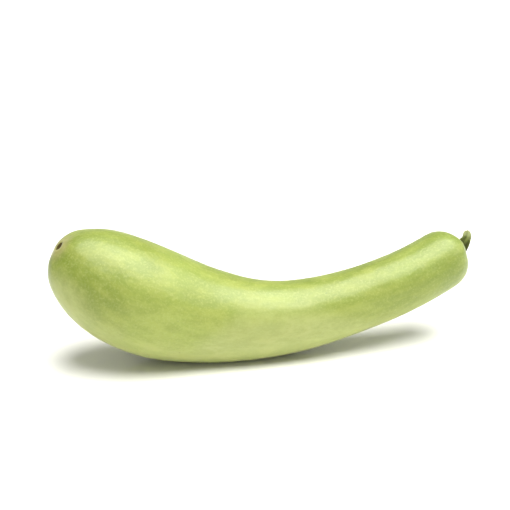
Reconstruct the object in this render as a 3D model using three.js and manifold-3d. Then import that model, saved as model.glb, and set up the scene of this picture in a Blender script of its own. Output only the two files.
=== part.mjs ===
// A bottle gourd with a fat belly, a long neck and its cut stalk, lying on its belly with both
// ends raised. Millimetres, +Z up. X runs along the gourd, from the blossom end to the stem end.
// The origin is in the small flat spot that the gourd rests on.
import * as THREE from "three";
import { mergeVertices } from "three/addons/utils/BufferGeometryUtils.js";
import Module from "manifold-3d";

// ---- Driving dimensions ----

// The middle line of the gourd, from the scar of the flower to the foot of the stalk.
const BLOSSOM_END = new THREE.Vector3(-131, -16, 107.5);
const BELLY_PULL = new THREE.Vector3(-41, 8, 11.1);
const NECK_PULL = new THREE.Vector3(82, -12, 18.9);
const STEM_END = new THREE.Vector3(207.2, 56.7, 78.2);

const BELLY_RADIUS = 46.5;
const BELLY_AT = 85; // from the blossom end to the widest place, along the middle line
const NECK_RADIUS = 25.1;
const TAPER_LENGTH = 65; // how slowly the belly narrows into the neck
const SHOULDER_LENGTH = 24; // the rounded end of the neck
// How the two ends round off: 2 is a quarter of an ellipse, more is blunter.
const BLOSSOM_FULLNESS = 2.25;
const SHOULDER_FULLNESS = 2.5;

// The skin is a little uneven: three soft lobes, and a slow sway of its sides.
const LOBES = 3;
const LOBE_DEPTH = 1;
const LOBE_PHASE = 2.1;
const SWAY_DEPTH = 1;
const SWAY_LENGTH = 135;
const SWAY_AT = 134;

// The scar that the flower left in the middle of the blossom end.
const SCAR_RADIUS = 4.5;
const SCAR_DEPTH = 1;
const SCAR_RIM = 0.4;

// The stalk: where it stands, a little off the middle of the shoulder, where it is cut off, how
// far it heads straight out before it bends up, and its radius along the way. Its five ridges
// run on as creases in the gourd's shoulder.
const STALK_FOOT = new THREE.Vector3(207.9, 55.7, 78.1);
const STALK_CUT = new THREE.Vector3(215, 68, 88.5);
const STALK_HEADING = 9;
const ROOT_DEPTH = 4; // how far the root is sunk into the shoulder
const ROOT_RADIUS = 3.4;
const FOOT_RADIUS = 6.1;
const STALK_RADIUS = 3.7;
const RIDGES = 5;
const RIDGE_DEPTH = 0.5;
const FOOT_LOBE_DEPTH = 1.1;
const CREASE_DEPTH = 0.5;
const CREASE_REACH = 9;
const GAP = 0.3; // between the stalk and its pit in the shoulder

// What is cut off flat under the belly, where the gourd rests.
const FLOOR_SIZE = new THREE.Vector3(200, 100, 10);

const FRUIT_RINGS = 76;
const FRUIT_SIDES = 60;
const STALK_SIDES = 40;

// ---- Helpers ----

// A closed skin over rings of points, which run once round from the first end to the last.
// first and last are the points that close the two ends.
function closedSkin(first, rings, last) {
  const sides = rings[0].length;
  const points = [first, ...rings.flat(), last];
  const lastIndex = points.length - 1;
  const index = [];
  for (let side = 0; side < sides; side += 1) {
    const next = (side + 1) % sides;
    index.push(0, 1 + side, 1 + next);
    for (let ring = 0; ring + 1 < rings.length; ring += 1) {
      const here = 1 + ring * sides;
      const there = here + sides;
      index.push(here + side, there + side, here + next);
      index.push(here + next, there + side, there + next);
    }
    const end = 1 + (rings.length - 1) * sides;
    index.push(end + side, lastIndex, end + next);
  }
  const geometry = new THREE.BufferGeometry().setFromPoints(points);
  geometry.setIndex(index);
  return geometry;
}

// The angles round a ring.
function angles(sides) {
  return Array.from({ length: sides }, (_, side) => (side / sides) * 2 * Math.PI);
}

// A point at an angle and a radius round a place on a middle line. Angle 0 is upwards.
function around(place, angle, radius) {
  return place.centre
    .clone()
    .addScaledVector(place.up, radius * Math.cos(angle))
    .addScaledVector(place.side, radius * Math.sin(angle));
}

// A bump of height 1 at 0 that fades over a width.
function bump(distance, width) {
  return Math.exp(-((distance / width) ** 2));
}

// ---- The gourd's middle line and radius ----

const middle = new THREE.CubicBezierCurve3(BLOSSOM_END, BELLY_PULL, NECK_PULL, STEM_END);
middle.arcLengthDivisions = 800;
const LENGTH = middle.getLength();
const UP = new THREE.Vector3(0, 0, 1);

// The place at a distance along the middle line, with the directions along it, level to its
// side, and up across it.
function gourdPlace(distance) {
  const share = THREE.MathUtils.clamp(distance / LENGTH, 0, 1);
  const along = middle.getTangentAt(share);
  const side = new THREE.Vector3().crossVectors(UP, along).normalize();
  const up = new THREE.Vector3().crossVectors(along, side);
  return { centre: middle.getPointAt(share), along, side, up };
}

// A rounded end: 1 at 0 and 0 at 1, as a quarter of an ellipse made blunter or sharper.
function roundedEnd(share, fullness) {
  const x = THREE.MathUtils.clamp(share, 0, 1);
  return (1 - x ** fullness) ** (1 / fullness);
}

// The radius before any unevenness. Past the belly it falls to the neck as a hyperbolic secant.
function gourdRadius(distance) {
  const past = distance - BELLY_AT;
  if (past < 0) {
    return BELLY_RADIUS * roundedEnd(-past / BELLY_AT, BLOSSOM_FULLNESS);
  }
  const neck = NECK_RADIUS + (BELLY_RADIUS - NECK_RADIUS) / Math.cosh(past / TAPER_LENGTH);
  const toEnd = LENGTH - distance;
  return neck * roundedEnd(1 - toEnd / SHOULDER_LENGTH, SHOULDER_FULLNESS);
}

// The gourd's outline as a curve of distance and radius, so that rings can be spaced along it.
class Outline extends THREE.Curve {
  getPoint(share, target = new THREE.Vector2()) {
    const distance = (LENGTH * (1 - Math.cos(Math.PI * share))) / 2;
    return target.set(distance, gourdRadius(distance));
  }
}

// ---- The stalk's middle line ----

const shoulder = gourdPlace(LENGTH);
const stalkRoot = STALK_FOOT.clone().addScaledVector(shoulder.along, -ROOT_DEPTH);
const stalkBend = STALK_FOOT.clone().addScaledVector(shoulder.along, STALK_HEADING);
const stalkLine = new THREE.QuadraticBezierCurve3(stalkRoot, stalkBend, STALK_CUT);
const STALK_LENGTH = stalkLine.getLength();
// The stalk bends in one plane, so the direction square to that plane is its side all along.
const stalkSide = new THREE.Vector3()
  .crossVectors(shoulder.along, STALK_CUT.clone().sub(stalkBend))
  .normalize();
// Where the stalk's side stands round the gourd's end, so that the creases meet the ridges.
const ridgePhase = Math.atan2(stalkSide.dot(shoulder.side), stalkSide.dot(shoulder.up)) - Math.PI / 2;

function stalkPlace(distance) {
  const share = THREE.MathUtils.clamp(distance / STALK_LENGTH, 0, 1);
  const along = stalkLine.getTangentAt(share);
  const up = new THREE.Vector3().crossVectors(along, stalkSide);
  return { centre: stalkLine.getPointAt(share), along, side: stalkSide, up };
}

// ---- The pieces ----

// How far the skin stands out from the plain round shape, at a distance along the gourd, an
// angle round it and the plain radius there. The last two terms are the scar and the creases.
function unevenness(distance, angle, radius) {
  const lobes = LOBE_DEPTH * Math.cos(LOBES * angle + LOBE_PHASE);
  const swing = (2 * Math.PI * (distance - SWAY_AT)) / SWAY_LENGTH;
  const sway = SWAY_DEPTH * Math.cos(swing) * Math.sin(angle);
  const body = Math.min(1, radius / NECK_RADIUS) * (lobes + sway);
  if (distance < BELLY_AT) {
    const dimple = SCAR_DEPTH * bump(radius, SCAR_RADIUS * 0.7);
    return body - dimple + SCAR_RIM * bump(radius - SCAR_RADIUS * 1.2, SCAR_RADIUS * 0.4);
  }
  const fromFoot = Math.max(0, radius - FOOT_RADIUS) + Math.max(0, LENGTH - SHOULDER_LENGTH - distance);
  const crease = CREASE_DEPTH * Math.min(1, radius / FOOT_RADIUS) * Math.exp(-fromFoot / CREASE_REACH);
  return body + crease * Math.cos(RIDGES * (angle - ridgePhase));
}

// The point of the gourd's skin at a distance and an angle. The unevenness stands square to the
// plain skin.
function skinPoint(distance, angle, radius) {
  const step = 0.02;
  const ahead = gourdRadius(Math.min(LENGTH, distance + step));
  const behind = gourdRadius(Math.max(0, distance - step));
  const slope = Math.atan2(ahead - behind, 2 * step);
  const place = gourdPlace(distance);
  const out = unevenness(distance, angle, radius);
  const point = around(place, angle, radius + out * Math.cos(slope));
  return point.addScaledVector(place.along, -out * Math.sin(slope));
}

function fruitGeometry() {
  const outline = new Outline();
  outline.arcLengthDivisions = 2000;
  const rings = [];
  for (let ring = 1; ring < FRUIT_RINGS; ring += 1) {
    const share = (1 - Math.cos((Math.PI * ring) / FRUIT_RINGS)) / 2;
    const { x: distance, y: radius } = outline.getPointAt(share);
    rings.push(angles(FRUIT_SIDES).map((angle) => skinPoint(distance, angle, radius)));
  }
  const tip = BLOSSOM_END.clone().addScaledVector(gourdPlace(0).along, SCAR_DEPTH);
  return closedSkin(tip, rings, STEM_END);
}

// The stalk's radius and the depth of its ridges at distances from the sunk end of its root.
// grow makes it larger all round.
function stalkSections(grow) {
  const cut = STALK_LENGTH;
  return [
    { at: -grow, radius: ROOT_RADIUS, ridge: 0 },
    { at: 2, radius: FOOT_RADIUS - 0.6, ridge: FOOT_LOBE_DEPTH / 2 },
    { at: 3.2, radius: FOOT_RADIUS, ridge: FOOT_LOBE_DEPTH },
    { at: 4.1, radius: FOOT_RADIUS - 0.2, ridge: FOOT_LOBE_DEPTH },
    { at: 5, radius: FOOT_RADIUS - 0.5, ridge: 0.8 * FOOT_LOBE_DEPTH },
    { at: 6.5, radius: STALK_RADIUS + 1.6, ridge: 1.4 * RIDGE_DEPTH },
    { at: 9, radius: STALK_RADIUS + 1.1, ridge: 1.1 * RIDGE_DEPTH },
    { at: 12, radius: STALK_RADIUS + 0.5, ridge: RIDGE_DEPTH },
    { at: cut - 6.5, radius: STALK_RADIUS, ridge: RIDGE_DEPTH },
    { at: cut - 4, radius: STALK_RADIUS - 0.15, ridge: RIDGE_DEPTH },
    { at: cut - 2, radius: STALK_RADIUS - 0.7, ridge: 0.9 * RIDGE_DEPTH },
    { at: cut - 0.9, radius: STALK_RADIUS - 1.15, ridge: 0.8 * RIDGE_DEPTH },
    { at: cut - 0.25, radius: STALK_RADIUS - 1.7, ridge: 0.6 * RIDGE_DEPTH },
    { at: cut, radius: STALK_RADIUS - 2.5, ridge: 0.3 * RIDGE_DEPTH },
  ].map((section) => ({ ...section, radius: section.radius + grow }));
}

function stalkGeometry(grow) {
  const rings = stalkSections(grow).map(({ at, radius, ridge }) => {
    const place = stalkPlace(at);
    place.centre.addScaledVector(place.along, Math.min(0, at));
    const ridged = (angle) => radius + ridge * Math.cos(RIDGES * angle);
    return angles(STALK_SIDES).map((angle) => around(place, angle, ridged(angle)));
  });
  const rootEnd = stalkRoot.clone().addScaledVector(shoulder.along, -grow);
  return closedSkin(rootEnd, rings, STALK_CUT);
}

// ---- Cutting the flat spot and the stalk's pit ----

const wasm = await Module();
wasm.setup();

function solidOf(geometry) {
  const bare = geometry.clone();
  bare.deleteAttribute("normal");
  bare.deleteAttribute("uv");
  const merged = mergeVertices(bare);
  const mesh = new wasm.Mesh({
    numProp: 3,
    vertProperties: new Float32Array(merged.attributes.position.array),
    triVerts: new Uint32Array(merged.index.array),
  });
  return new wasm.Manifold(mesh);
}

function geometryOf(solid) {
  const { vertProperties, triVerts } = solid.getMesh();
  const geometry = new THREE.BufferGeometry();
  geometry.setAttribute("position", new THREE.BufferAttribute(vertProperties, 3));
  geometry.setIndex(new THREE.BufferAttribute(triVerts, 1));
  geometry.computeVertexNormals();
  return geometry;
}

const floor = new THREE.BoxGeometry(FLOOR_SIZE.x, FLOOR_SIZE.y, FLOOR_SIZE.z);
floor.translate(0, 0, -FLOOR_SIZE.z / 2);
const fruitSolid = solidOf(fruitGeometry())
  .subtract(solidOf(floor))
  .subtract(solidOf(stalkGeometry(GAP)));

// ---- The scene ----

const skin = new THREE.MeshStandardMaterial({ color: 0xb4c66a, roughness: 0.42, metalness: 0 });
const corky = new THREE.MeshStandardMaterial({ color: 0x6c7036, roughness: 0.8, metalness: 0 });

const fruit = new THREE.Mesh(geometryOf(fruitSolid), skin);
fruit.name = "fruit";

const stem = new THREE.Mesh(stalkGeometry(0), corky);
stem.name = "stem";
stem.geometry.computeVertexNormals();

const gourd = new THREE.Group();
gourd.add(fruit, stem);

export default gourd;
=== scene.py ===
"""A bottle gourd with a fat belly, a long neck and its cut stalk, on a pale studio floor.

The gourd lies on its belly with both ends raised. Metres, +Z up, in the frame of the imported
model: X runs along the gourd from the blossom end to the stem end, and the origin is in the
small flat spot that the gourd rests on.
"""

import math

import bpy
import numpy as np
from bpy.props import FloatProperty, FloatVectorProperty, IntProperty, PointerProperty
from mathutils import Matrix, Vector


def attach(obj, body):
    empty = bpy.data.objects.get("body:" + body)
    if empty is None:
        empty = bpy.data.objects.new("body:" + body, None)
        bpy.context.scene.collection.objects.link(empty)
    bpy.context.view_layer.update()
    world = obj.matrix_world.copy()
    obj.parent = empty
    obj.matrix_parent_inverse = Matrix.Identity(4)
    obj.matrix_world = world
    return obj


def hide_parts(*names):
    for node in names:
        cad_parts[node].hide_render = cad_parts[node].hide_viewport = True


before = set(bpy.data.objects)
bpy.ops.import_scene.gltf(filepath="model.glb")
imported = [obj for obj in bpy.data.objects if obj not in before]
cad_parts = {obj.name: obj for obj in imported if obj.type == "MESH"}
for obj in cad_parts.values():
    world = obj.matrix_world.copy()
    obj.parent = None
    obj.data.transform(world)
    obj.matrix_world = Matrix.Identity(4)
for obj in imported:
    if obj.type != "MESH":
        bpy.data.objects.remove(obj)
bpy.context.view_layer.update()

bl_info = {
    "name": "Bottle Gourd",
    "version": (1, 0, 0),
    "blender": (4, 5, 0),
    "location": "3D View > Sidebar > Gourd",
    "description": "Grows a bottle gourd and its stalk in their frame, and sets a studio round them",
    "category": "Add Mesh",
}

MM = 0.001
UP = np.array([0.0, 0.0, 1.0])

# ---- The gourd's plain shape ----
#
# The middle line's four control points are in millimetres.

BLOSSOM_END = (-131, -16, 107.5)
BELLY_PULL = (-41, 8, 11.1)
NECK_PULL = (82, -12, 18.9)
STEM_END = (207.2, 56.7, 78.2)
BELLY_RADIUS = 46.5 * MM
BELLY_AT = 85 * MM  # from the blossom end to the widest place, along the middle line
NECK_RADIUS = 25.1 * MM
TAPER_LENGTH = 65 * MM
SHOULDER_LENGTH = 24 * MM
BLOSSOM_FULLNESS = 2.25
SHOULDER_FULLNESS = 2.5
END_CROWDING = 0.86  # how much closer together the rings lie at the ends, from 0 to 1

# ---- The skin's unevenness ----

LOBES = 3
LOBE_DEPTH = 1 * MM
LOBE_PHASE = 2.1
SWAY_DEPTH = 1 * MM
SWAY_LENGTH = 135 * MM
SWAY_AT = 134 * MM
SCAR_RADIUS = 4.5 * MM
SCAR_DEPTH = 1 * MM
SCAR_RIM = 0.4 * MM
SCAR_FOLDS = 13
FLAT_EDGE = 0.15 * MM  # how softly the flat spot under the belly ends
BROAD_RIPPLE = 21 * MM
FINE_RIPPLE = 11 * MM
GRAIN_RIPPLE = 5 * MM
SKIN_WAVES = 14  # in each ripple's sum
RIPPLE_FADE = 8 * MM  # the ripples fade towards both ends from this radius

# ---- Where the skin's colours change ----
#
# Each pair is where a change starts and where it is complete.

# The belly's deeper green is partly the skin's own colour and partly painted shade on that end.
BELLY_GREEN = (100 * MM, 40 * MM)  # from the blossom end along the middle line, as the waist's
# The next two set a pale band up the sides of the middle: painted light where the highlight fades
# softly below it.
WAIST_NEAR = (120 * MM, 170 * MM)
WAIST_FAR = (280 * MM, 220 * MM)
SHOULDER_GREEN = (110 * MM, 20 * MM)  # before the stem end
PALE_RADIUS = (12 * MM, 34 * MM)  # from the middle line, as the next two
BLUSH_RADIUS = (17 * MM, 5 * MM)
SCAR_EDGE = (5.2 * MM, 3.8 * MM)

# ---- The stalk ----

STALK_FOOT = (207.9, 55.7, 78.1)  # in millimetres, as the next
STALK_CUT = (215, 68, 88.5)
STALK_HEADING = 9 * MM
ROOT_DEPTH = 4 * MM
ROOT_RADIUS = 3.4 * MM
FOOT_RADIUS = 6.1 * MM
STALK_RADIUS = 3.7 * MM
RIDGES = 5
RIDGE_DEPTH = 0.5 * MM
FOOT_LOBE_DEPTH = 1.1 * MM
CREASE_DEPTH = 0.5 * MM
CREASE_REACH = 9 * MM
STRANDS = 23
STRAND_RIPPLE = 1.1 * MM
ROUGH_RIPPLE = 4 * MM
STALK_WAVES = 12  # in each ripple's sum
# The stalk's dark foot is painted shade where the shoulder shades it.
FOOT_COLOUR = (15 * MM, 5 * MM)  # from the root's end, as the next
DRY_COLOUR = (12 * MM, 18 * MM)
CUT_COLOUR = (1.2 * MM, 0.4 * MM)  # before the cut end

# ---- The studio ----

FLOOR_RADIUS = 12
FLOOR_DEPTH = 0.05
KEY_TOWARDS = Vector((0.22, -0.05, 1))
GLOSS_ABOVE_TOWARDS = Vector((0.05, -0.2, 1))
GLOSS_RIGHT_TOWARDS = Vector((0.66, -0.15, 0.72))
CAMERA_PLACE = (0.0281, -0.925, 0.4669)
CAMERA_LENS = 85  # millimetres, as the sensor's width
CAMERA_SENSOR = 36


# ---- Surfaces ----


class MiddleLine:
    """A Bezier curve measured by distance.

    A point of the curve is the sum of the control points, each times its Bernstein weight.
    Distances are summed over short chords, and the share of the curve at a distance is read
    off between them.
    """

    def __init__(self, points):
        self.points = points
        self.share = np.linspace(0, 1, 4001)
        chords = np.linalg.norm(np.diff(self.at(self.share), axis=0), axis=1)
        self.run = np.concatenate([[0], np.cumsum(chords)])
        self.length = self.run[-1]

    @staticmethod
    def blend(points, share):
        """The sum of the points, each times its Bernstein weight."""
        degree = len(points) - 1
        weights = [
            math.comb(degree, k) * share**k * (1 - share) ** (degree - k) for k in range(degree + 1)
        ]
        return np.stack(weights, -1) @ points

    def at(self, share):
        return self.blend(self.points, share)

    def place(self, distance):
        """The point and the unit direction at each distance."""
        share = np.interp(distance, self.run, self.share)
        return self.at(share), unit(self.blend(np.diff(self.points, axis=0), share))


def unit(vectors):
    """The vectors, each divided by its length."""
    return vectors / np.linalg.norm(vectors, axis=-1, keepdims=True)


def bump(distance, width):
    """A bump of height 1 at 0 that fades as the exponential of minus the square over a width."""
    return np.exp(-((distance / width) ** 2))


def ripples(points, wavelength, waves, seed):
    """Smooth random relief of about -1 to 1 at points in space: the sum of cosine waves of one
    wavelength in random directions and with random phases, over the root of half their number
    and over 2."""
    random = np.random.default_rng(seed)
    headings = unit(random.normal(size=(waves, 3)))
    phases = random.uniform(0, 2 * math.pi, waves)
    turns = points @ headings.T * (2 * math.pi / wavelength) + phases
    return np.cos(turns).sum(-1) / math.sqrt(waves / 2) / 2


def ring_angles(sides):
    """The angles of a ring's points, evenly spaced over a whole turn."""
    return np.linspace(0, 2 * math.pi, sides, endpoint=False)[None]


def straightened(distance, radius, angle):
    """Rings of points round a straight line: the distance along it, and the radius times the
    angle's cosine and sine across it."""
    return np.stack(np.broadcast_arrays(distance, radius * np.cos(angle), radius * np.sin(angle)), -1)


def with_ends(straight, length):
    """The straight rings' points, with the line's two ends before and after them."""
    return np.concatenate([[[0, 0, 0]], straight.reshape(-1, 3), [[length, 0, 0]]])


def around(centre, up, side, angle, radius):
    """Rings of points: each ring's centre, plus its up times radius and cosine of the angle,
    plus its side times radius and sine of the angle. Angle 0 is upwards."""
    across = (radius * np.cos(angle))[..., None] * up[:, None]
    return centre[:, None] + across + (radius * np.sin(angle))[..., None] * side[:, None]


def eased(at, value, where):
    """A profile through sections: between two of them runs a cubic, whose slope at a section is
    the harmonic mean of the slopes on its two sides, or 0 where it turns."""
    at, value = np.array(at), np.array(value)
    step = np.diff(at)
    rise = np.diff(value) / step
    product = rise[:-1] * rise[1:]
    total = np.where(product > 0, rise[:-1] + rise[1:], 1)
    inner = np.where(product > 0, 2 * product / total, 0)
    slope = np.concatenate([rise[:1], inner, rise[-1:]])
    k = np.clip(np.searchsorted(at, where) - 1, 0, len(step) - 1)
    t = (where - at[k]) / step[k]
    near = (1 + 2 * t) * (1 - t) ** 2 * value[k] + t * (1 - t) ** 2 * step[k] * slope[k]
    far = t * t * (3 - 2 * t) * value[k + 1] - t * t * (1 - t) * step[k] * slope[k + 1]
    return near + far


def closed_skin(name, first, rings, last, **attributes):
    """A mesh object over rings of points, closed by a fan at its first and its last point.
    Each attribute holds a value for every point, in the same order."""
    count, sides = rings.shape[:2]
    points = np.concatenate([[first], rings.reshape(-1, 3), [last]])
    side = np.arange(sides)
    after = (side + 1) % sides
    here = 1 + sides * np.arange(count - 1)[:, None]
    there = here + sides
    quads = np.stack([here + side, there + side, there + after, here + after], -1).reshape(-1, 4)
    end = 1 + (count - 1) * sides
    first_fan = np.stack([0 * side, 1 + side, 1 + after], -1)
    last_fan = np.stack([end + side, 0 * side + end + sides, end + after], -1)
    mesh = bpy.data.meshes.new(name)
    faces = quads.tolist() + first_fan.tolist() + last_fan.tolist()
    mesh.from_pydata(points.tolist(), [], faces)
    for key, values in attributes.items():
        kind, field = ("FLOAT", "value") if values.ndim == 1 else ("FLOAT_VECTOR", "vector")
        layer = mesh.attributes.new(key, kind, "POINT")
        layer.data.foreach_set(field, values.astype(np.float32).ravel())
    mesh.shade_smooth()
    obj = bpy.data.objects.new(name, mesh)
    bpy.context.scene.collection.objects.link(obj)
    return obj


# ---- The gourd's skin ----

GOURD_LINE = MiddleLine(np.array([BLOSSOM_END, BELLY_PULL, NECK_PULL, STEM_END]) * MM)


def gourd_place(distance):
    """The middle line's point and directions: along it, level to its side, and up across it."""
    centre, along = GOURD_LINE.place(distance)
    side = unit(np.cross(UP, along))
    return centre, along, side, np.cross(along, side)


def rounded_end(share, fullness):
    """1 at 0 and 0 at 1: a quarter of an ellipse with a fuller power than 2."""
    return (1 - np.clip(share, 0, 1) ** fullness) ** (1 / fullness)


def gourd_radius(distance):
    """The plain radius. Up to the belly it is a rounded end. Past it the radius falls to the
    neck's as a hyperbolic secant, and a second rounded end closes it."""
    past = distance - BELLY_AT
    tail = NECK_RADIUS + (BELLY_RADIUS - NECK_RADIUS) / np.cosh(past / TAPER_LENGTH)
    from_end = (GOURD_LINE.length - distance) / SHOULDER_LENGTH
    shoulder = tail * rounded_end(1 - from_end, SHOULDER_FULLNESS)
    belly = BELLY_RADIUS * rounded_end(-past / BELLY_AT, BLOSSOM_FULLNESS)
    return np.where(past < 0, belly, shoulder)


def outline(rings):
    """Distance and plain radius of rings spaced along the outline, closer together at its ends:
    the spacing is 1 less the crowding times the cosine of the share in turns."""
    share = np.linspace(0, math.pi, 20001)
    distance = GOURD_LINE.length * (1 - np.cos(share)) / 2
    radius = gourd_radius(distance)
    run = np.concatenate([[0], np.cumsum(np.hypot(np.diff(distance), np.diff(radius)))])
    ring = np.arange(1, rings) / rings
    wanted = run[-1] * (ring - END_CROWDING * np.sin(2 * math.pi * ring) / (2 * math.pi))
    return np.interp(wanted, run, distance), np.interp(wanted, run, radius)


def unevenness(distance, angle, radius):
    """How far the skin stands out from the plain shape. Cosines of the angle give the lobes and
    the sway, which fade at the ends. Bumps of the radius dent the scar and raise its folded
    rim, and a cosine that fades away from the stalk's foot gives the creases."""
    lobes = LOBE_DEPTH * np.cos(LOBES * angle + LOBE_PHASE)
    sway = SWAY_DEPTH * np.cos(2 * math.pi * (distance - SWAY_AT) / SWAY_LENGTH) * np.sin(angle)
    body = np.minimum(1, radius / NECK_RADIUS) * (lobes + sway)
    folds = 1 + 0.12 * np.cos(SCAR_FOLDS * angle + 2 * np.sin(3 * angle))
    scar = SCAR_RIM * folds * bump(radius - SCAR_RADIUS * 1.2, SCAR_RADIUS * 0.4)
    scar = scar - SCAR_DEPTH * bump(radius, SCAR_RADIUS * 0.7)
    from_foot = np.maximum(0, radius - FOOT_RADIUS)
    from_foot = from_foot + np.maximum(0, GOURD_LINE.length - SHOULDER_LENGTH - distance)
    crease = CREASE_DEPTH * np.minimum(1, radius / FOOT_RADIUS) * np.exp(-from_foot / CREASE_REACH)
    crease = crease * np.cos(RIDGES * (angle - RIDGE_PHASE))
    return body + np.where(distance < BELLY_AT, scar, crease)


def skin_surface(rings, sides, relief):
    """The skin as rings of points, and where each point would be on a straightened gourd.
    The unevenness stands square to the plain skin. Broad and fine ripples are added, and what
    would be below the floor is flattened: height becomes half of itself plus the root of its
    square and a small square."""
    distance, radius = outline(rings)
    step = 0.02 * MM
    ahead = gourd_radius(np.minimum(GOURD_LINE.length, distance + step))
    slope = np.arctan2(ahead - gourd_radius(np.maximum(0, distance - step)), 2 * step)[:, None]
    centre, along, side, up = gourd_place(distance)
    angle = ring_angles(sides)
    distance, radius = distance[:, None], radius[:, None]
    straight = straightened(distance, radius, angle)
    stretched = straight * np.array([0.3, 1, 1])
    broad = ripples(stretched, BROAD_RIPPLE, SKIN_WAVES, seed=5)
    fine = ripples(stretched, FINE_RIPPLE, SKIN_WAVES, seed=3)
    grain = ripples(straight, GRAIN_RIPPLE, SKIN_WAVES, seed=4)
    fade = np.minimum(1, radius / RIPPLE_FADE)
    rippled = relief * fade * (1.2 * broad + (0.6 * fine + 0.4 * grain))
    out = unevenness(distance, angle, radius) + rippled
    points = around(centre, up, side, angle, radius + out * np.cos(slope))
    points = points - (out * np.sin(slope))[..., None] * along[:, None]
    height = points[..., 2]
    points[..., 2] = (height + np.sqrt(height**2 + FLAT_EDGE**2)) / 2
    return points, straight


# ---- The stalk ----


def stalk_line():
    """The stalk's middle line, and the one direction square to the plane that it bends in."""
    along = GOURD_LINE.place(np.array([GOURD_LINE.length]))[1][0]
    foot = np.array(STALK_FOOT) * MM
    cut = np.array(STALK_CUT) * MM
    bend = foot + STALK_HEADING * along
    line = MiddleLine(np.array([foot - ROOT_DEPTH * along, bend, cut]))
    return line, unit(np.cross(along, cut - bend))


STALK_LINE, STALK_SIDE = stalk_line()


def ridge_phase():
    """Where the stalk's side stands round the gourd's end, so that creases meet ridges."""
    _, _, side, up = gourd_place(np.array([GOURD_LINE.length]))
    return math.atan2(STALK_SIDE @ side[0], STALK_SIDE @ up[0]) - math.pi / 2


RIDGE_PHASE = ridge_phase()


def stalk_sections():
    """Distance from the root's end, radius and depth of the ridges, section by section."""
    cut = STALK_LINE.length
    return [
        (0, ROOT_RADIUS, 0),
        (2 * MM, FOOT_RADIUS - 0.6 * MM, FOOT_LOBE_DEPTH / 2),
        (3.2 * MM, FOOT_RADIUS, FOOT_LOBE_DEPTH),
        (4.1 * MM, FOOT_RADIUS - 0.2 * MM, FOOT_LOBE_DEPTH),
        (5 * MM, FOOT_RADIUS - 0.5 * MM, 0.8 * FOOT_LOBE_DEPTH),
        (6.5 * MM, STALK_RADIUS + 1.6 * MM, 1.4 * RIDGE_DEPTH),
        (9 * MM, STALK_RADIUS + 1.1 * MM, 1.1 * RIDGE_DEPTH),
        (12 * MM, STALK_RADIUS + 0.5 * MM, RIDGE_DEPTH),
        (cut - 6.5 * MM, STALK_RADIUS, RIDGE_DEPTH),
        (cut - 4 * MM, STALK_RADIUS - 0.15 * MM, RIDGE_DEPTH),
        (cut - 2 * MM, STALK_RADIUS - 0.7 * MM, 0.9 * RIDGE_DEPTH),
        (cut - 0.9 * MM, STALK_RADIUS - 1.15 * MM, 0.8 * RIDGE_DEPTH),
        (cut - 0.25 * MM, STALK_RADIUS - 1.7 * MM, 0.6 * RIDGE_DEPTH),
        (cut, STALK_RADIUS - 2.5 * MM, 0.3 * RIDGE_DEPTH),
    ]


def stalk_surface(rings, sides, fibre):
    """The stalk as rings of points, where each point would be on a straight stalk, and how
    high it stands on a ridge. The radius is the sections' profile plus the ridge's depth times
    the cosine of five times the angle. Narrow ribs and ripples drawn out along the stalk are
    added as its fibres."""
    at, radius, depth = (np.array(column) for column in zip(*stalk_sections()))
    distance = np.linspace(0, STALK_LINE.length, rings)[:, None]
    angle = ring_angles(sides)
    centre, along = STALK_LINE.place(distance[:, 0])
    side = np.broadcast_to(STALK_SIDE, along.shape)
    ridge = np.cos(RIDGES * angle) + 0 * distance
    radius = eased(at, radius, distance) + eased(at, depth, distance) * ridge
    straight = straightened(distance, radius, angle)
    drawn = straight * np.array([0.2, 1, 1])
    strands = np.cos(STRANDS * angle + 1.5 * np.sin(2 * angle) + 60 * distance)
    fine = ripples(drawn, STRAND_RIPPLE, STALK_WAVES, seed=7)
    rough = ripples(straight, ROUGH_RIPPLE, STALK_WAVES, seed=8)
    fade = np.minimum(1, (STALK_LINE.length - distance) / MM)
    radius = radius + fibre * fade * (0.35 * strands + (0.5 * fine + 0.5 * rough))
    up = np.cross(along, side)
    return around(centre, up, side, angle, radius), straight, ridge


# ---- Finishes ----


class Wire:
    """A socket of a material's nodes, on which sums and products are written as on a number."""

    def __init__(self, finish, socket):
        self.finish = finish
        self.socket = socket

    def math(self, operation, first, second):
        sockets = {"Value": first, "Value_001": second}
        return self.finish.node("ShaderNodeMath", {"operation": operation}, sockets)

    def __add__(self, other):
        return self.math("ADD", self, other)

    def __radd__(self, other):
        return self.math("ADD", other, self)

    def __sub__(self, other):
        return self.math("SUBTRACT", self, other)

    def __rsub__(self, other):
        return self.math("SUBTRACT", other, self)

    def __mul__(self, other):
        return self.math("MULTIPLY", self, other)

    def __rmul__(self, other):
        return self.math("MULTIPLY", other, self)

    def __truediv__(self, other):
        return self.math("DIVIDE", self, other)

    def __rtruediv__(self, other):
        return self.math("DIVIDE", other, self)


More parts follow.
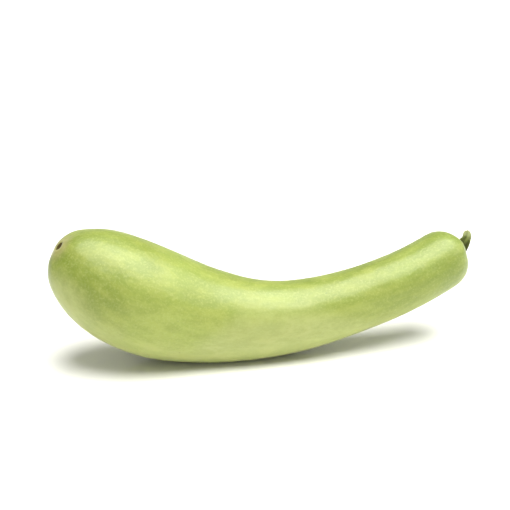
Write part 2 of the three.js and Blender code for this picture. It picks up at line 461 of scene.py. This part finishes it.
class Finish:
    """A material, its shader, and the ways in which its nodes are made."""

    def __init__(self, name, **constants):
        self.material = bpy.data.materials.new(name)
        self.material.use_nodes = True
        self.tree = self.material.node_tree
        self.shader = self.tree.nodes["Principled BSDF"]
        self.feed(self.shader, constants)

    def feed(self, node, sockets):
        """Sets or links sockets, which are named by their identifiers, with _ for a space."""
        found = {socket.identifier.replace(" ", "_"): socket for socket in node.inputs}
        for name, value in sockets.items():
            if isinstance(value, Wire):
                self.tree.links.new(value.socket, found[name])
            elif hasattr(value, "__len__") and found[name].type == "RGBA":
                found[name].default_value = (*value[:3], 1)
            else:
                found[name].default_value = value

    def node(self, kind, settings, sockets, output=0):
        """A new node: its settings are made first, then its sockets."""
        node = self.tree.nodes.new(kind)
        for name, value in settings.items():
            setattr(node, name, value)
        self.feed(node, sockets)
        return Wire(self, node.outputs[output])

    def shade(self, **sockets):
        self.feed(self.shader, sockets)

    def cover(self, factor, **sockets):
        """Covers the shader by a second one, wholly where the factor is 1."""
        second = self.tree.nodes.new("ShaderNodeBsdfPrincipled")
        self.feed(second, sockets)
        shaders = {
            "Fac": factor,
            "Shader": Wire(self, self.shader.outputs["BSDF"]),
            "Shader_001": Wire(self, second.outputs["BSDF"]),
        }
        mixed = self.node("ShaderNodeMixShader", {}, shaders)
        self.tree.links.new(mixed.socket, self.tree.nodes["Material Output"].inputs["Surface"])

    def attribute(self, name, output="Vector"):
        return self.node("ShaderNodeAttribute", {"attribute_name": name}, {}, output)

    def place(self):
        return self.node("ShaderNodeTexCoord", {}, {}, "Object")

    def scaled(self, vector, scale):
        sockets = {"Vector": vector, "Vector_001": scale}
        return self.node("ShaderNodeVectorMath", {"operation": "MULTIPLY"}, sockets)

    def part(self, vector, axis):
        return self.node("ShaderNodeSeparateXYZ", {}, {"Vector": vector}, axis)

    def length(self, vector):
        return self.node("ShaderNodeVectorMath", {"operation": "LENGTH"}, {"Vector": vector}, "Value")

    def noise(self, vector, scale, detail, roughness=0.5, distortion=0):
        sockets = {
            "Vector": vector,
            "Scale": scale,
            "Detail": detail,
            "Roughness": roughness,
            "Distortion": distortion,
        }
        return self.node("ShaderNodeTexNoise", {}, sockets)

    def cells(self, vector, scale, output="Distance"):
        return self.node("ShaderNodeTexVoronoi", {}, {"Vector": vector, "Scale": scale}, output)

    def fade(self, value, start, end):
        """0 at start and beyond, 1 at end and beyond, and smooth in between."""
        sockets = {"Value": value, "From_Min": start, "From_Max": end}
        return self.node("ShaderNodeMapRange", {"interpolation_type": "SMOOTHSTEP"}, sockets)

    def mix(self, factor, first, second, kind="MIX"):
        settings = {"data_type": "RGBA", "blend_type": kind}
        sockets = {"Factor_Float": factor, "A_Color": first, "B_Color": second}
        return self.node("ShaderNodeMix", settings, sockets, 2)

    def relief(self, height, distance):
        return self.node("ShaderNodeBump", {}, {"Height": height, "Distance": distance})


def skin_finish(colours):
    """Smooth waxy skin: blotches and streaks along the gourd, fine pale dots and a few dark specks,
    paler on its sides and underneath, deeper green at both ends, and a brown scar in a tan blush.
    The paler sides and the part underneath are partly the skin's own colour and partly painted
    light: fill that evens the top-lit shading, light bounced from the floor, and a pale band below
    the highlight in the middle. The belly's deeper green is partly painted shade."""
    finish = Finish(
        "gourd_skin",
        IOR=1.35,
        Coat_Roughness=0.2,
        Subsurface_Weight=0.12,
        Subsurface_Radius=(0.8, 1.0, 0.35),
        Subsurface_Scale=0.004,
        Sheen_Weight=0.2,
        Sheen_Roughness=0.3,
    )
    place = finish.place()
    grown = finish.attribute("grown")
    drawn = finish.scaled(grown, (0.45, 1, 1))
    distance = finish.part(grown, "X")
    radius = finish.length(finish.scaled(grown, (0, 1, 1)))
    above = finish.part(grown, "Y") / (radius + 1e-5)
    patches = finish.noise(place, 22, detail=3, distortion=0.3)
    blotches = finish.noise(drawn, 95, detail=5, roughness=0.72)
    hues = finish.noise(drawn, 48, detail=3, roughness=0.6)
    streaks = finish.noise(finish.scaled(grown, (0.1, 1, 1)), 170, detail=3, roughness=0.6)
    mottle = finish.noise(place, 520, detail=3, roughness=0.65)
    sides = above + 0.5 * (patches - 0.5)
    round_end = finish.fade(radius, *PALE_RADIUS)
    # The belly's deeper green is partly its own colour and partly painted shade on its end, which
    # faces away from the light.
    belly = finish.fade(distance + 50 * MM * (patches - 0.5), *BELLY_GREEN)
    shoulder = finish.fade(distance, *(GOURD_LINE.length - back for back in SHOULDER_GREEN))
    colour = finish.mix(finish.fade(patches, 0.35, 0.68), colours.green, colours.light_green)
    colour = finish.mix(0.8 * belly, colour, colours.belly)
    # The paler sides are partly the skin's own colour and partly painted light: the top is kept darker
    # and the sides paler, so that the top-lit shading looks even.
    flank_and_painted_fill = finish.fade(sides, 0.78, 0.05) * (1 - 0.7 * belly) * (1 - 0.4 * shoulder) * round_end
    colour = finish.mix(0.8 * flank_and_painted_fill, colour, colours.flank_and_painted_fill)
    # Painted light: the pale colour underneath is drawn up the sides of the middle, where the
    # highlight fades softly below it.
    painted_waist_light = finish.fade(distance, *WAIST_NEAR) * finish.fade(distance, *WAIST_FAR)
    # Paler underneath: partly the ground spot where the gourd lay, partly painted light bounced up
    # from the bright floor.
    underneath = finish.fade(sides - 0.9 * painted_waist_light, -0.1, -0.8) * round_end
    colour = finish.mix(0.8 * underneath, colour, colours.underside_and_painted_bounce)
    colour = finish.mix(0.6 * shoulder, colour, colours.shoulder)
    colour = finish.mix(0.22 * finish.fade(hues, 0.42, 0.7), colour, colours.yellow)
    colour = finish.mix(0.2 * finish.fade(streaks, 0.5, 0.8), colour, colours.dots)
    colour = finish.mix(finish.fade(blotches, 0.66, 0.36), colour, (0.79, 0.83, 0.7), "MULTIPLY")
    colour = finish.mix(0.34 * finish.fade(mottle, 0.45, 0.72), colour, colours.dots)
    dots = finish.fade(finish.cells(place, 330), 0.28, 0.12)
    colour = finish.mix(0.15 * dots, colour, colours.dots)
    rare = finish.part(finish.cells(place, 90, "Color"), "X")
    specks = finish.fade(finish.cells(place, 90), 0.075, 0.035) * finish.fade(rare, 0.8, 0.82)
    colour = finish.mix(0.45 * specks, colour, colours.specks)
    blossom = finish.fade(distance, BELLY_AT, 0.5 * BELLY_AT)
    blush = finish.fade(radius + 12 * MM * (patches - 0.5), *BLUSH_RADIUS) * blossom
    colour = finish.mix(0.5 * blush, colour, colours.blush)
    oval = finish.length(finish.scaled(grown, (0, 1.2, 1.25)))
    edge = oval + 2.2 * MM * (finish.noise(place, 700, detail=2) - 0.5)
    scar = finish.fade(edge, *SCAR_EDGE) * blossom
    crust = finish.noise(place, 1400, detail=3, roughness=0.7)
    waxy = 0.46 + 0.25 * (blotches - 0.5) + 0.15 * (streaks - 0.5) + 0.1 * (mottle - 0.5)
    height = 0.5 * mottle + 0.6 * streaks + 0.8 * blotches - 0.35 * dots
    finish.shade(
        Base_Color=colour,
        Roughness=waxy + 0.4 * scar,
        Coat_Weight=0.15 * (1 - scar),
        Normal=finish.relief(height, 0.1 * MM),
    )
    finish.cover(
        scar,
        Base_Color=finish.mix(crust, colours.scar, colours.scar_edge),
        Roughness=0.8 + 0.2 * crust,
        IOR=1.1,
        Normal=finish.relief(crust, 0.3 * MM),
    )
    return finish.material


def stalk_finish(colours):
    """A dry green stalk: lighter along its ridges, dark in its grooves, paler towards its brown cut
    end, with drawn out fibres. Its dark foot is painted shade where it meets the shoulder."""
    finish = Finish("gourd_stalk", IOR=1.1)
    place = finish.place()
    grown = finish.attribute("grown")
    ridge = finish.attribute("ridge", "Fac")
    distance = finish.part(grown, "X")
    fibres = finish.noise(finish.scaled(grown, (0.12, 1, 1)), 1500, detail=3, roughness=0.6)
    patches = finish.noise(place, 260, detail=3, roughness=0.6)
    crest = finish.fade(ridge + 1.2 * (patches - 0.5), -0.3, 0.9)
    colour = finish.mix(crest, colours.groove, colours.ridge)
    colour = finish.mix(finish.fade(fibres, 0.45, 0.8) * 0.6, colour, colours.fibre)
    # Painted shade: the stalk is darkened towards its foot, where the shoulder shades it.
    foot = finish.fade(distance + 5 * MM * (patches - 0.5), *FOOT_COLOUR)
    colour = finish.mix(0.8 * foot, colour, colours.foot)
    dry = finish.fade(distance + 6 * MM * (patches - 0.5), *DRY_COLOUR)
    colour = finish.mix(0.75 * dry, colour, colours.dry)
    end = finish.fade(distance, *(STALK_LINE.length - back for back in CUT_COLOUR))
    colour = finish.mix(end, colour, colours.cut)
    height = 0.7 * fibres + 0.5 * patches
    finish.shade(
        Base_Color=colour,
        Roughness=0.62 + 0.25 * fibres,
        Normal=finish.relief(height, 0.3 * MM),
    )
    return finish.material


def floor_finish(tone):
    """A smooth white sheet with the faintest cloudiness, which mirrors softly."""
    finish = Finish("studio_floor", IOR=1.4, Coat_Weight=0.3, Coat_Roughness=0.06)
    clouds = finish.noise(finish.place(), 3, detail=3)
    colour = finish.mix(clouds, tone, [0.985 * part for part in tone])
    height = finish.noise(finish.place(), 900, detail=2)
    finish.shade(
        Base_Color=colour,
        Roughness=0.12 + 0.05 * clouds,
        Normal=finish.relief(height, 0.01 * MM),
    )
    return finish.material


# ---- What a user can change ----


def colour_property(name, description, default):
    return FloatVectorProperty(
        name=name, description=description, default=default, min=0, max=1, size=3, subtype="COLOR"
    )


class GourdShape(bpy.types.PropertyGroup):
    """How finely the skin and the stalk are made."""

    skin_rings: IntProperty(
        name="Skin Rings", description="Rings of points along the skin", default=330, min=40, max=360
    )
    skin_sides: IntProperty(
        name="Skin Sides", description="Points round each ring", default=264, min=24, max=270
    )
    skin_relief: FloatProperty(
        name="Skin Relief",
        description="Depth of the fine unevenness of the skin",
        default=0.15 * MM,
        min=0,
        max=1 * MM,
        precision=5,
        unit="LENGTH",
    )
    stalk_rings: IntProperty(
        name="Stalk Rings", description="Rings of points along the stalk", default=170, min=20, max=300
    )
    stalk_sides: IntProperty(
        name="Stalk Sides", description="Points round each ring", default=180, min=20, max=300
    )
    fibre_depth: FloatProperty(
        name="Fibre Depth",
        description="Depth of the fibres along the stalk",
        default=0.16 * MM,
        min=0,
        max=1 * MM,
        precision=5,
        unit="LENGTH",
    )


class SkinColours(bpy.types.PropertyGroup):
    """The colours of the skin."""

    green: colour_property("Green", "Most of the skin", (0.19, 0.235, 0.03))
    light_green: colour_property("Light Green", "Soft patches", (0.23, 0.28, 0.043))
    yellow: colour_property("Yellow", "Where the green turns yellower", (0.275, 0.295, 0.05))
    # Partly the skin's own deeper green, partly painted shade on the belly's end.
    belly: colour_property("Belly", "The deeper green of the belly's end", (0.175, 0.22, 0.023))
    # Partly the skin's own paler sides, partly painted light that evens the top-lit shading.
    flank_and_painted_fill: colour_property("Flank", "The paler green of the sides", (0.325, 0.377, 0.081))
    # Partly the ground spot, partly painted light bounced from the floor.
    underside_and_painted_bounce: colour_property("Underside", "Where it lay on the ground", (0.39, 0.418, 0.157))
    shoulder: colour_property("Shoulder", "Round the stalk", (0.165, 0.222, 0.023))
    dots: colour_property("Dots", "The fine pale dots", (0.36, 0.4, 0.12))
    specks: colour_property("Specks", "The few dark specks", (0.12, 0.15, 0.045))
    blush: colour_property("Blush", "Round the scar", (0.33, 0.27, 0.13))
    scar: colour_property("Scar", "The flower's scar", (0.022, 0.017, 0.004))
    scar_edge: colour_property("Scar Crust", "The lighter crust of the scar", (0.085, 0.062, 0.02))


class StalkColours(bpy.types.PropertyGroup):
    """The colours of the stalk."""

    ridge: colour_property("Ridge", "Along the ridges", (0.12, 0.145, 0.034))
    groove: colour_property("Groove", "Between the ridges", (0.05, 0.064, 0.012))
    fibre: colour_property("Fibre", "The pale fibres", (0.2, 0.225, 0.08))
    # Painted shade at the stalk's foot.
    foot: colour_property("Foot", "Where it meets the skin", (0.02, 0.023, 0.004))
    dry: colour_property("Dry", "The paler end towards the cut", (0.27, 0.295, 0.13))
    cut: colour_property("Cut", "The dried cut end", (0.2, 0.18, 0.1))


class Studio(bpy.types.PropertyGroup):
    """The floor, the light and the camera."""

    floor_tone: colour_property("Floor", "The floor's colour", (0.9, 0.895, 0.845))
    sky: FloatProperty(
        name="Room Light", description="Strength of the light from all round", default=0.42, min=0
    )
    key: FloatProperty(
        name="Key Light", description="Strength of the wide light above", default=6.5, min=0
    )
    gloss_above: FloatProperty(
        name="Gloss Above",
        description="Strength of the wide light above that shows only in the gloss",
        default=9.4,
        min=0,
    )
    gloss_right: FloatProperty(
        name="Gloss Right",
        description="Strength of the wide light at the right that shows only in the gloss",
        default=4.2,
        min=0,
    )
    key_width: FloatProperty(
        name="Key Width",
        description="How wide the key light looks from the gourd",
        default=math.radians(52),
        min=0,
        max=math.pi,
        subtype="ANGLE",
    )
    gloss_width: FloatProperty(
        name="Gloss Width",
        description="How wide each of the two gloss lights looks from the gourd",
        default=math.radians(78),
        min=0,
        max=math.pi,
        subtype="ANGLE",
    )
    tilt: FloatProperty(
        name="Camera Tilt",
        description="How far down the camera looks",
        default=math.radians(22),
        min=0,
        max=math.pi / 2,
        subtype="ANGLE",
    )


# ---- The steps ----


class GOURD_OT_grow_skin(bpy.types.Operator):
    """Grow the gourd's skin in place of the plain fruit"""

    bl_idname = "gourd.grow_skin"
    bl_label = "Grow Skin"

    def execute(self, context):
        shape = context.scene.gourd_shape
        rings, straight = skin_surface(shape.skin_rings, shape.skin_sides, shape.skin_relief)
        tip = np.array(BLOSSOM_END) * MM + SCAR_DEPTH * gourd_place(np.zeros(1))[1][0]
        grown = with_ends(straight, GOURD_LINE.length)
        skin = closed_skin("skin", tip, rings, np.array(STEM_END) * MM, grown=grown)
        skin.data.materials.append(skin_finish(context.scene.gourd_skin_colours))
        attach(skin, "root")
        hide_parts("fruit")
        return {"FINISHED"}


class GOURD_OT_grow_stalk(bpy.types.Operator):
    """Grow the stalk in place of the plain stem"""

    bl_idname = "gourd.grow_stalk"
    bl_label = "Grow Stalk"

    def execute(self, context):
        shape = context.scene.gourd_shape
        surface = stalk_surface(shape.stalk_rings, shape.stalk_sides, shape.fibre_depth)
        rings, straight, ridge = surface
        grown = with_ends(straight, STALK_LINE.length)
        ridge = np.concatenate([[0], ridge.ravel(), [0]])
        root, cut = STALK_LINE.points[0], STALK_LINE.points[-1]
        stalk = closed_skin("stalk", root, rings, cut, grown=grown, ridge=ridge)
        stalk.data.materials.append(stalk_finish(context.scene.gourd_stalk_colours))
        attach(stalk, "root")
        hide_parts("stem")
        return {"FINISHED"}


class GOURD_OT_set_stage(bpy.types.Operator):
    """Set the floor, the light and the camera"""

    bl_idname = "gourd.set_stage"
    bl_label = "Set Stage"

    def execute(self, context):
        studio = context.scene.gourd_studio
        self.lay_floor(studio)
        self.light(context.scene, studio)
        self.aim_camera(context.scene, studio)
        return {"FINISHED"}

    @staticmethod
    def lay_floor(studio):
        """A round sheet, whose rings of points lie closer together towards the middle: a
        ring's radius is the sheet's times the square of its share."""
        share = np.linspace(0.05, 1, 24)[:, None]
        along, across = np.eye(3)[:1], np.eye(3)[1:2]
        top = around(0 * along, along, across, ring_angles(96), FLOOR_RADIUS * share**2)
        sheet = np.concatenate([top, top[::-1] - FLOOR_DEPTH * UP])
        floor = closed_skin("floor", 0 * UP, sheet, -FLOOR_DEPTH * UP)
        floor.data.materials.append(floor_finish(studio.floor_tone))

    @staticmethod
    def light(scene, studio):
        """Light from all round, a key light that doesn't show in the gloss, and two lights that
        show only in it."""
        scene.world = bpy.data.worlds.new("studio")
        scene.world.use_nodes = True
        background = scene.world.node_tree.nodes["Background"]
        background.inputs["Color"].default_value = (1, 1, 1, 1)
        background.inputs["Strength"].default_value = studio.sky
        for name, strength, width, towards in (
            ("key", studio.key, studio.key_width, KEY_TOWARDS),
            ("gloss_above", studio.gloss_above, studio.gloss_width, GLOSS_ABOVE_TOWARDS),
            ("gloss_right", studio.gloss_right, studio.gloss_width, GLOSS_RIGHT_TOWARDS),
        ):
            light = bpy.data.lights.new(name, "SUN")
            light.energy = strength
            light.angle = width
            lamp = bpy.data.objects.new(name, light)
            lamp.rotation_euler = towards.to_track_quat("Z", "Y").to_euler()
            lamp.visible_glossy = name != "key"
            lamp.visible_diffuse = name == "key"
            scene.collection.objects.link(lamp)
        scene.view_settings.view_transform = "Standard"

    @staticmethod
    def aim_camera(scene, studio):
        """A long lens in front of the gourd, which looks down at it a little."""
        lens = bpy.data.cameras.new("camera")
        lens.lens = CAMERA_LENS
        lens.sensor_width = CAMERA_SENSOR
        camera = bpy.data.objects.new("camera", lens)
        camera.location = CAMERA_PLACE
        camera.rotation_euler = (math.pi / 2 - studio.tilt, 0, 0)
        scene.collection.objects.link(camera)
        scene.camera = camera


STEPS = (GOURD_OT_grow_skin, GOURD_OT_grow_stalk, GOURD_OT_set_stage)
GROUPS = {
    "gourd_shape": GourdShape,
    "gourd_skin_colours": SkinColours,
    "gourd_stalk_colours": StalkColours,
    "gourd_studio": Studio,
}


class GOURD_PT_panel(bpy.types.Panel):
    """The gourd's settings and steps"""

    bl_idname = "GOURD_PT_panel"
    bl_label = "Bottle Gourd"
    bl_space_type = "VIEW_3D"
    bl_region_type = "UI"
    bl_category = "Gourd"

    def draw(self, context):
        for group in GROUPS:
            settings = getattr(context.scene, group)
            box = self.layout.box()
            for name in settings.__annotations__:
                box.prop(settings, name)
        for step in STEPS:
            self.layout.operator(step.bl_idname)


def register():
    for part in (*GROUPS.values(), *STEPS, GOURD_PT_panel):
        bpy.utils.register_class(part)
    for name, group in GROUPS.items():
        setattr(bpy.types.Scene, name, PointerProperty(type=group))


def unregister():
    for name in GROUPS:
        delattr(bpy.types.Scene, name)
    for part in reversed((*GROUPS.values(), *STEPS, GOURD_PT_panel)):
        bpy.utils.unregister_class(part)


def main():
    register()
    bpy.ops.gourd.grow_skin()
    bpy.ops.gourd.grow_stalk()
    bpy.ops.gourd.set_stage()


if __name__ == "__main__":
    main()
